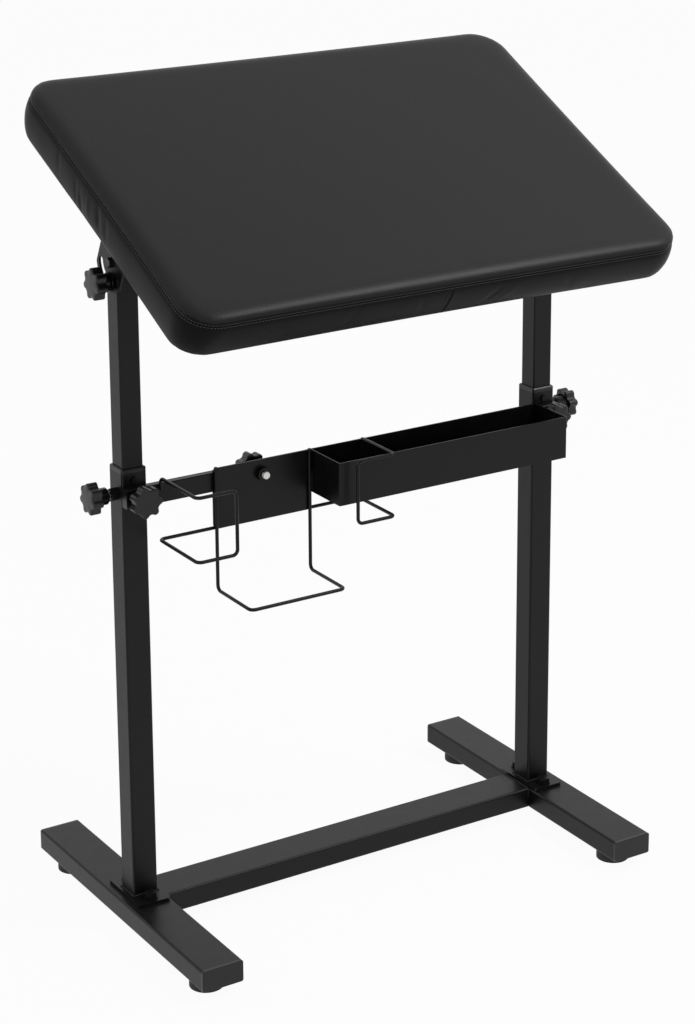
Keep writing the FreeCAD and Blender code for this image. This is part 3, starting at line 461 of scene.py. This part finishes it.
# Swells the blank as cloth that its foam holds, kept flat at its turned-in underside and held in along the
# seam
def inflate(piece):
    remesh = piece.modifiers.new("remesh", "REMESH")
    remesh.mode = "VOXEL"
    remesh.voxel_size = pad["voxel"]
    settled(piece)
    rest = [vertex.co.copy() for vertex in piece.data.vertices]
    held = piece.vertex_groups.new(name="held")
    for vertex in piece.data.vertices:
        nearSeam = abs(vertex.co.z - pad["seam"]) < pad["voxel"] * pad["seamHold"]
        fixed = vertex.co.z < pad["voxel"] or nearSeam
        held.add([vertex.index], 1.0 if fixed else pad["foam"], "REPLACE")
    cloth = piece.modifiers.new("swell", "CLOTH")
    cloth.settings.vertex_group_mass = "held"
    cloth.settings.use_pressure = True
    cloth.settings.uniform_pressure_force = pad["pressure"]
    cloth.settings.effector_weights.gravity = 0
    cloth.settings.tension_stiffness = pad["stiffness"]
    cloth.settings.compression_stiffness = pad["stiffness"]
    for step in range(1, pad["frames"] + 1):
        scene.frame_set(step)
    settled(piece)
    scene.frame_set(1)
    farthest = 0.0
    for vertex, start in zip(piece.data.vertices, rest):
        move = vertex.co - start
        farthest = max(farthest, move.length)
        if move.length > pad["cap"]:
            vertex.co = start + move.normalized() * pad["cap"]
    print("pad swelled, farthest point", round(farthest * 1000, 1), "mm")
    return piece


# The seam and the band's join at its front: where they cut the mesh finer, how wide and deep they sink, and
# the small ridge beside the join. Stitch rows are heights over the seam
sewing = {
    "seamCuts": (-0.0030, -0.0016, -0.0006, 0, 0.0006, 0.0016, 0.0030),
    "joinCuts": (-0.0024, -0.0012, -0.0004, 0.0004, 0.0012, 0.0024),
    "snap": 1e-5, "join": 0.0020, "joinReach": 0.012, "frontFrom": -0.19, "frontFacing": -0.7,
    "valley": 0.0030, "valleyDepth": 0.0013, "crease": 0.0006, "creaseDepth": 0.0011,
    "sideways": 0.3, "edge": 0.002, "foldHeight": 0.011, "ripple": 0.00035, "ripples": (30, 30, 20),
    "groove": 0.0007, "grooveDepth": 0.0012, "grooveFade": 4,
    "ridge": 0.0016, "ridgeHeight": 0.0004, "ridgeOut": 0.003,
    "stitchRows": {"upper": 0.0015, "lower": -0.0015}, "stitchOut": 0.0001}

# Soft folds in the band, as the photograph shows them: a side, its place along it, lean, width, depth, height
folds = [
    ("left", 0.053, 0.30, 0.0030, 0.0007, 0.024), ("left", 0.040, 0.35, 0.0036, 0.0010, 0.019),
    ("left", 0.024, 0.25, 0.0030, -0.0006, 0.024), ("left", -0.001, 0.35, 0.0040, 0.0011, 0.028),
    ("left", -0.020, 0.30, 0.0034, 0.0006, 0.026), ("left", 0.098, 0.20, 0.0034, 0.0005, 0.030),
    ("front", 0.058, 0.70, 0.0042, 0.0007, 0.024), ("front", 0.078, 0.80, 0.0050, -0.0003, 0.022),
    ("front", -0.030, -0.30, 0.0040, 0.0005, 0.026), ("front", -0.120, 0.40, 0.0045, 0.0005, 0.022),
    ("front", 0.160, -0.35, 0.0045, 0.0005, 0.024), ("right", 0.050, 0.30, 0.0036, 0.0008, 0.024),
    ("right", -0.060, -0.30, 0.0040, 0.0007, 0.022), ("back", -0.070, 0.40, 0.0045, 0.0008, 0.024),
    ("back", 0.110, -0.30, 0.0040, 0.0006, 0.026)]


# The line where the pad meets a level plane, in order round the pad and moved out a little
def levelLine(mesh, height, out):
    cut = bmesh.new()
    cut.from_mesh(mesh)
    everything = cut.verts[:] + cut.edges[:] + cut.faces[:]
    bmesh.ops.bisect_plane(cut, geom=everything, plane_co=(0, 0, height), plane_no=(0, 0, 1),
                           clear_inner=True, clear_outer=True)
    points = sorted((vertex.co.copy() for vertex in cut.verts), key=lambda co: math.atan2(co.y, co.x))
    cut.free()
    outward = [Vector((co.x, co.y, 0)).normalized() * out for co in points]
    return [co + push for co, push in zip(points, outward)]


# Edges along the seam and the join, so that they can sink sharply
def cutFiner(shape):
    for height in sewing["seamCuts"]:
        everything = shape.verts[:] + shape.edges[:] + shape.faces[:]
        bmesh.ops.bisect_plane(shape, geom=everything, plane_co=(0, 0, pad["seam"] + height),
                               plane_no=(0, 0, 1), dist=sewing["snap"])
    for across in sewing["joinCuts"]:
        faces = [face for face in shape.faces
                 if face.calc_center_median().y < sewing["frontFrom"]
                 and face.normal.y < sewing["frontFacing"]
                 and abs(face.calc_center_median().x) < sewing["joinReach"]]
        edges = list({edge for face in faces for edge in face.edges})
        corners = list({vertex for face in faces for vertex in face.verts})
        bmesh.ops.bisect_plane(shape, geom=corners + edges + faces, plane_co=(sewing["join"] + across, 0, 0),
                               plane_no=(1, 0, 0), dist=sewing["snap"])


def bell(distance, width):
    return math.exp(-(distance / width) ** 2)


# How far the band sinks at a vertex under the seam: by its ripples, its folds and the join at the front
def bandDepth(vertex):
    x, y, height = vertex.co
    fade = math.sin(math.pi * (height - sewing["edge"]) / (pad["seam"] - 2 * sewing["edge"]))
    if abs(vertex.normal.y) > abs(vertex.normal.x):
        side, along = ("front", x) if y < 0 else ("back", x)
    else:
        side, along = ("left", y) if x < 0 else ("right", y)
    spot = Vector([place * often for place, often in zip(vertex.co, sewing["ripples"])])
    depth = sewing["ripple"] * fade * noise.noise(spot)
    for where, start, lean, wide, deep, middle in folds:
        if where == side:
            over = height - middle
            depth += deep * bell(along - start - lean * over, wide) * bell(over, sewing["foldHeight"])
    if side == "front":
        away = x - sewing["join"]
        depth += sewing["grooveDepth"] * bell(away, sewing["groove"]) * min(1, sewing["grooveFade"] * fade)
        depth -= sewing["ridgeHeight"] * bell(abs(away) - sewing["ridgeOut"], sewing["ridge"]) * fade
    return depth


# Sinks the seam between the top and the band, the band's join at the front, and the folds
def sew(piece):
    shape = bmesh.new()
    shape.from_mesh(piece.data)
    cutFiner(shape)
    shape.normal_update()
    for vertex in shape.verts:
        outward = Vector((vertex.normal.x, vertex.normal.y, 0))
        if outward.length < sewing["sideways"]:
            continue
        gap = vertex.co.z - pad["seam"]
        depth = sewing["valleyDepth"] * bell(gap, sewing["valley"])
        depth += sewing["creaseDepth"] * bell(gap, sewing["crease"])
        if sewing["edge"] < vertex.co.z < pad["seam"] - sewing["edge"]:
            depth += bandDepth(vertex)
        vertex.co -= outward.normalized() * depth
    shape.to_mesh(piece.data)
    shape.free()


# The block that opens the cover's underside inside its turned-in edge, where the board shows
def windowCutter():
    halfX = pad["length"] / 2 - pad["windowInset"]
    halfY = pad["depth"] / 2 - pad["windowInset"]
    points = outline(halfX, halfY, pad["windowCorner"], pad["windowSteps"])
    shape = bmesh.new()
    low, high = ([shape.verts.new((x, y, z)) for x, y in points] for z in (-pad["windowBelow"], pad["pit"]))
    skin(shape, [low, high])
    shape.faces.new(low[::-1])
    shape.faces.new(high)
    return newPiece("window", meshFrom(shape, "window"))


padCover = inflate(padBlank())
fine = padCover.modifiers.new("fine", "SUBSURF")
fine.levels = fine.render_levels = 1
sew(settled(padCover))
stitchLines = {word: levelLine(padCover.data, pad["seam"] + over, sewing["stitchOut"])
               for word, over in sewing["stitchRows"].items()}
cutter = windowCutter()
opening = padCover.modifiers.new("opening", "BOOLEAN")
opening.object = cutter
opening.operation = "DIFFERENCE"
opening.solver = "EXACT"
settled(padCover)
bpy.data.objects.remove(cutter)
# Faces up to a little over the seam take the less shiny copy, as painted shade on the band and the roll's lower
# edge
bandTop = pad["seam"] + pad["bandOverSeam"]
band = [face.index for face in padCover.data.polygons if face.center.z < bandTop]
padCover.data.transform(padPlace)
smooth(padCover)
dress(padCover, finishes["leather"], "pad")
padCover.data.materials.append(shadedBandLeather)
for index in band:
    padCover.data.polygons[index].material_index = 1
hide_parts("pad_cover", "pad_foam")
print("pad cover", len(padCover.data.polygons), "faces")


# Stitches and weld beads

stitch = {"pitch": 0.0036, "long": 0.0029, "wide": 0.0008, "high": 0.0009}
weld = {"pitch": 0.0014, "long": 0.0030, "wide": 0.0026, "high": 0.0026}

# The ball that each bead is stretched from
ball = {"Segments": 8, "Rings": 5, "Radius": 0.5}


def inputSocket(tree, name, value):
    socket = tree.interface.new_socket(name=name, in_out="INPUT", socket_type="NodeSocketFloat")
    socket.default_value = value
    return socket.identifier


# Evenly spaced beads laid along a curve, with the identifiers of the inputs that size them
def beadTree(name, sizes, material):
    tree = bpy.data.node_groups.new(name, "GeometryNodeTree")
    tree.interface.new_socket(name="Geometry", in_out="INPUT", socket_type="NodeSocketGeometry")
    tree.interface.new_socket(name="Geometry", in_out="OUTPUT", socket_type="NodeSocketGeometry")
    names = {word: inputSocket(tree, word, value) for word, value in sizes.items()}
    add, link = tree.nodes.new, tree.links.new
    into, out = add("NodeGroupInput"), add("NodeGroupOutput")
    spread = add("GeometryNodeResampleCurve")
    spread.mode = "LENGTH"
    link(into.outputs["Geometry"], spread.inputs["Curve"])
    link(into.outputs["pitch"], spread.inputs["Length"])
    bead = add("GeometryNodeMeshUVSphere")
    for word, value in ball.items():
        bead.inputs[word].default_value = value
    size = add("ShaderNodeCombineXYZ")
    for word, key in (("long", "X"), ("wide", "Y"), ("high", "Z")):
        link(into.outputs[word], size.inputs[key])
    tangent = add("GeometryNodeInputTangent")
    align = add("FunctionNodeAlignRotationToVector")
    align.axis = "X"
    link(tangent.outputs[0], align.inputs["Vector"])
    place = add("GeometryNodeInstanceOnPoints")
    link(spread.outputs[0], place.inputs["Points"])
    link(bead.outputs["Mesh"], place.inputs["Instance"])
    link(align.outputs[0], place.inputs["Rotation"])
    link(size.outputs[0], place.inputs["Scale"])
    real = add("GeometryNodeRealizeInstances")
    link(place.outputs[0], real.inputs[0])
    paint = add("GeometryNodeSetMaterial")
    paint.inputs["Material"].default_value = material
    link(real.outputs[0], paint.inputs["Geometry"])
    link(paint.outputs[0], out.inputs[0])
    return tree, names


# One mesh of beads along one or more lines
def beadLines(name, lines, kind, sizes, material, body):
    tree, names = kind
    guide = newPiece(name + "Guide", lineCurve(name, lines))
    modifier = guide.modifiers.new(name, "NODES")
    modifier.node_group = tree
    for word, value in sizes.items():
        modifier[names[word]] = value
    piece = pieceFrom(guide, name)
    dress(piece, material, body)
    print(name, len(piece.data.polygons), "faces")


# The stitches take the thread whose pale grey paints their highlight
stitchKind = beadTree("stitches", stitch, threadWithPaintedHighlight)
for word, points in stitchLines.items():
    beadLines(word + "Stitches", [([padPlace @ co for co in points], True)], stitchKind, stitch, threadWithPaintedHighlight,
              "pad")

# Where the welds lie: round the foot of each outer post, and up, over and down each end of the cross bar
posts = {
    "half": 0.271, "outer": 0.030, "plateTop": 0.0425, "footTop": 0.039, "footHalf": 0.275,
    "footWidth": 0.050, "weldUp": 0.0003, "weldWider": 0.0006, "barGap": 0.0002, "barCorner": 0.002,
    "barLow": 0.0160, "barHigh": 0.0370}


def squareLoop(x, y, z, width):
    side = width / 2
    return [(x + sx * side, y + sy * side, z) for sx, sy in ((-1, -1), (1, -1), (1, 1), (-1, 1))]


# The weld at one end of the cross bar, whose width is a foot bar's
def barEnd(side):
    x = side * (posts["footHalf"] - posts["footWidth"] / 2 - posts["barGap"])
    reach = posts["footWidth"] / 2 - posts["barCorner"]
    top = posts["footTop"] - posts["barGap"]
    near, far = postLine - reach, postLine + reach
    return [(x, near, posts["barLow"]), (x, near - posts["barCorner"], posts["barHigh"]), (x, near, top),
            (x, far, top), (x, far + posts["barCorner"], posts["barHigh"]), (x, far, posts["barLow"])]


weldLines = []
for side in (-1, 1):
    weldLines.append((squareLoop(side * posts["half"], postLine, posts["plateTop"] + posts["weldUp"],
                                 posts["outer"] + posts["weldWider"]), True))
    weldLines.append((barEnd(side), False))
weldKind = beadTree("welds", weld, finishes["black_steel"])
beadLines("weldBeads", weldLines, weldKind, weld, finishes["black_steel"], "base")


# Star knobs

# Radii of the lobes, the valleys between them, the hub, the cavity under the head and the stud's bore, and
# heights of the head, its hollow, its domed top and each kind's hub
knob = {
    "lobes": 7, "lobe": 0.0042, "orbit": 0.0136, "valley": 0.0046, "head": 0.012, "edge": 0.0016,
    "hub": 0.0095, "cavity": 0.012, "hollow": 0.007, "bore": 0.00405, "bite": 0.014, "dome": 0.0005,
    "hubBevel": 0.0006, "bevel": 0.0005, "skirtIn": 0.0001, "skirtUp": 0.0003,
    "lobeSteps": 14, "valleySteps": 8, "edgeSteps": 6, "topRings": (0.85, 0.6, 0.35, 0.12),
    "hubs": {"height": 0.011, "rail": 0.010, "rack": 0.008, "tilt": 0.008}}


# The star's outline, brought in by a margin
def starRing(margin):
    step = 2 * math.pi / knob["lobes"]
    across = knob["lobe"] + knob["valley"]
    rise = math.sqrt(across ** 2 - (knob["orbit"] * math.sin(step / 2)) ** 2)
    valleyOrbit = knob["orbit"] * math.cos(step / 2) + rise
    valleyHalf = math.acos(rise / across)
    lobeHalf = valleyHalf + step / 2
    points = []
    for k in range(knob["lobes"]):
        for part in range(knob["lobeSteps"] + 1):
            angle = k * step + lobeHalf * (2 * part / knob["lobeSteps"] - 1)
            points.append((knob["orbit"] * math.cos(k * step) + (knob["lobe"] - margin) * math.cos(angle),
                           knob["orbit"] * math.sin(k * step) + (knob["lobe"] - margin) * math.sin(angle)))
        middle = (k + 0.5) * step
        for part in range(1, knob["valleySteps"]):
            angle = middle + math.pi + valleyHalf * (1 - 2 * part / knob["valleySteps"])
            points.append((valleyOrbit * math.cos(middle) + (knob["valley"] + margin) * math.cos(angle),
                           valleyOrbit * math.sin(middle) + (knob["valley"] + margin) * math.sin(angle)))
    return points


# As many points as a ring has, on a circle
def circled(points, radius):
    return [(radius * x / math.hypot(x, y), radius * y / math.hypot(x, y)) for x, y in points]


def shrunk(points, share):
    return [(x * share, y * share) for x, y in points]


# A knob from the bottom of its bore, round its hub, cavity and skirt, over its edge and across its top
def knobMesh(name, hub):
    star = starRing(0.0)
    top, edge, bevel = hub + knob["head"], knob["edge"], knob["bevel"]
    deep = hub + knob["hollow"]
    rounds = [(knob["bore"], knob["bite"]), (knob["bore"], 0.0), (knob["hub"] - knob["hubBevel"], 0.0),
              (knob["hub"], knob["hubBevel"]), (knob["hub"], deep - bevel), (knob["hub"] + bevel, deep),
              (knob["cavity"] - bevel, deep), (knob["cavity"], deep - bevel), (knob["cavity"], hub)]
    levels = [(circled(star, radius), height) for radius, height in rounds]
    levels += [(starRing(bevel), hub), (starRing(knob["skirtIn"]), hub + knob["skirtUp"])]
    for step in range(knob["edgeSteps"] + 1):
        angle = math.pi / 2 * step / knob["edgeSteps"]
        levels.append((starRing(edge * (1 - math.cos(angle))), top - edge + edge * math.sin(angle)))
    flat = starRing(edge)
    for share in knob["topRings"]:
        levels.append((shrunk(flat, share), top + knob["dome"] * (1 - share) ** 0.5))
    shape = bmesh.new()
    rings = [[shape.verts.new((x, y, z)) for x, y in points] for points, z in levels]
    skin(shape, rings)
    shape.faces.new(rings[0][::-1])
    shape.faces.new(rings[-1])
    bmesh.ops.recalc_face_normals(shape, faces=shape.faces)
    return meshFrom(shape, name)


# A knob stands on its joint's place, along the joint's axis
def knobPlace(joint):
    axis = Vector(joint["axis"]).normalized()
    across = Vector((1, 0, 0)) if abs(axis.y) > 0.5 else Vector((0, 0, -axis.x))
    return placing(across, axis.cross(across), axis, joint["pos_m"])


for joint in frame["joints"]:
    if not joint["name"].endswith("_knob_turn"):
        continue
    word = joint["name"].removesuffix("_turn")
    kind = word.removesuffix("_knob").split("_")[-1]
    piece = smooth(newPiece(word + "Head", knobMesh(word, knob["hubs"][kind])))
    piece.data.transform(knobPlace(joint))
    piece.data.set_sharp_from_angle(angle=crispAngle)
    dress(piece, finishes["black_plastic"], joint["child"])
    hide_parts(word)
print("knobs made")


# Bent wires

# The rack's middle across the stand, distances from it to each side and from the posts' line to the front,
# heights above the floor, and the wire itself
rack = {
    "middle": -0.1195, "cupHalf": 0.127, "cupInner": 0.079, "basketHalf": 0.0595,
    "hook": 0.0286, "arm": 0.02295, "basketBack": 0.02905,
    "leftReach": 0.1090, "rightReach": 0.0990, "basketReach": 0.1020,
    "hookFoot": 0.5199, "cupTop": 0.5329, "cupFoot": 0.4610, "basketTop": 0.5325, "basketFoot": 0.3905,
    "thick": 0.004, "bend": 0.006, "steps": 8, "rounds": 4}


# From the short leg at the left, round the left loop, along the arm and round the right loop to its short leg
def cupRackCorners():
    left, innerLeft = rack["middle"] - rack["cupHalf"], rack["middle"] - rack["cupInner"]
    right, innerRight = rack["middle"] + rack["cupHalf"], rack["middle"] + rack["cupInner"]
    hook, arm, low = -rack["hook"], -rack["arm"], rack["hookFoot"]
    leftFront, rightFront = -rack["leftReach"], -rack["rightReach"]
    top, foot = rack["cupTop"], rack["cupFoot"]
    return [(left, hook, low), (left, hook, top), (left, leftFront, top), (innerLeft, leftFront, top),
            (innerLeft, leftFront, foot), (left, leftFront, foot), (left, arm, foot), (right, arm, foot),
            (right, rightFront, foot), (innerRight, rightFront, foot), (innerRight, rightFront, top),
            (right, rightFront, top), (right, hook, top), (right, hook, low)]


# From the plate at the left, down, round the hanging loop and up again
def basketCorners():
    left, right = rack["middle"] - rack["basketHalf"], rack["middle"] + rack["basketHalf"]
    back, front = -rack["basketBack"], -rack["basketReach"]
    top, foot = rack["basketTop"], rack["basketFoot"]
    return [(left, back, top), (left, back, foot), (left, front, foot), (right, front, foot),
            (right, back, foot), (right, back, top)]


# A line through corners, each rounded to the wire's bend
def bentLine(points):
    corners = [Vector(point) for point in points]
    line = [corners[0]]
    for before, corner, after in zip(corners, corners[1:], corners[2:]):
        into, away = (corner - before).normalized(), (after - corner).normalized()
        sweep = into.angle(away)
        centre = corner + (away - into).normalized() * (rack["bend"] / math.cos(sweep / 2))
        first = corner - into * rack["bend"] * math.tan(sweep / 2) - centre
        for step in range(rack["steps"] + 1):
            angle = sweep * step / rack["steps"]
            line.append(centre + first * math.cos(angle) + into * rack["bend"] * math.sin(angle))
    return line + [corners[-1]]


for word, corners in (("cup_rack_wire", cupRackCorners()), ("basket_wire", basketCorners())):
    line = [(co.x, co.y + postLine, co.z) for co in bentLine(corners)]
    curve = lineCurve(word, [(line, False)])
    curve.bevel_depth = rack["thick"] / 2
    curve.bevel_resolution = rack["rounds"]
    curve.use_fill_caps = True
    piece = pieceFrom(newPiece(word + "Guide", curve), word + "Round")
    piece.data.set_sharp_from_angle(angle=crispAngle)
    dress(piece, finishes["black_steel"], "base")
    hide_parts(word)
print("wires made")


# Floor, light and camera

# The softbox has its place, what it points at, its two sides and its power. Paper is the share of plain white
# in what the camera sees of the floor, and sky is the strength of the light from all round
room = {
    "floor": 14.0, "paper": 0.95, "speck": (40, 2), "speckShare": 0.001, "grey": (0.9, 0.9, 0.9, 1),
    "white": (1, 1, 1, 1), "sky": 0.45,
    "softbox": {"place": (1.5, -1.25, 3.0), "target": (0, 0, 0.7), "size": (0.9, 0.8), "power": 42}}


def floorFinish():
    finish = Finish("paleFloor")
    speck = finish.grain(*room["speck"])
    diffuse = finish.node("ShaderNodeBsdfDiffuse", {}, {"Color": room["grey"]})
    glow = finish.node("ShaderNodeEmission", {}, {"Color": room["white"], "Strength": 1.0})
    share = finish.seen() * (room["paper"] + room["speckShare"] * speck)
    finish.showMix("Material Output", share, diffuse, glow)
    return finish.material


half = room["floor"] / 2
floorMesh = bpy.data.meshes.new("floor")
corners = [(-half, -half, 0), (half, -half, 0), (half, half, 0), (-half, half, 0)]
floorMesh.from_pydata(corners, [], [(0, 1, 2, 3)])
floor = newPiece("floor", floorMesh)
floorMesh.materials.append(floorFinish())

world = bpy.data.worlds.new("studio")
scene.world = world
world.use_nodes = True
studio = Wiring(world.node_tree)
sky = studio.node("ShaderNodeBackground", {}, {"Color": room["white"], "Strength": room["sky"]})
white = studio.node("ShaderNodeBackground", {}, {"Color": room["white"], "Strength": 1.0})
studio.showMix("World Output", studio.seen(), sky, white)

softbox = room["softbox"]
lamp = bpy.data.lights.new("frontBox", "AREA")
lamp.shape = "RECTANGLE"
lamp.size, lamp.size_y = softbox["size"]
lamp.energy = softbox["power"]
holder = newPiece("frontBox", lamp)
holder.location = softbox["place"]
aim = Vector(softbox["target"]) - Vector(softbox["place"])
holder.rotation_euler = aim.to_track_quat("-Z", "Y").to_euler()
holder.visible_camera = False

# The photograph's camera, fitted to the stand's corners. The eye is in metres from the posts' line, angles
# are in radians, focal length and principal point in the photograph's pixels, and sensor in millimetres
view = {
    "eye": (-1.4850704, -2.3930936, 1.4490314), "azimuth": -0.5581642676, "elevation": 0.2640580263,
    "roll": -0.0058009775, "focal": 2618.2632652, "principal": 300.0, "frameHeight": 1024, "sensor": 36,
    "farthest": 50}
lens = bpy.data.cameras.new("camera")
lens.sensor_fit = "VERTICAL"
lens.sensor_height = view["sensor"]
lens.lens = view["focal"] * view["sensor"] / view["frameHeight"]
lens.shift_y = (view["principal"] - view["frameHeight"] / 2) / view["frameHeight"]
lens.clip_end = view["farthest"]
camera = newPiece("camera", lens)
level = math.cos(view["elevation"])
forward = -Vector((math.sin(view["azimuth"]) * level, -math.cos(view["azimuth"]) * level,
                   math.sin(view["elevation"])))
right = forward.cross(Vector((0, 0, 1))).normalized()
up = right.cross(forward)
turned = right * math.cos(view["roll"]) + up * math.sin(view["roll"])
raised = up * math.cos(view["roll"]) - right * math.sin(view["roll"])
camera.matrix_world = placing(turned, raised, -forward, Vector(view["eye"]) + Vector((0, postLine, 0)))
scene.camera = camera
scene.view_settings.view_transform = "Standard"
print("stage set")
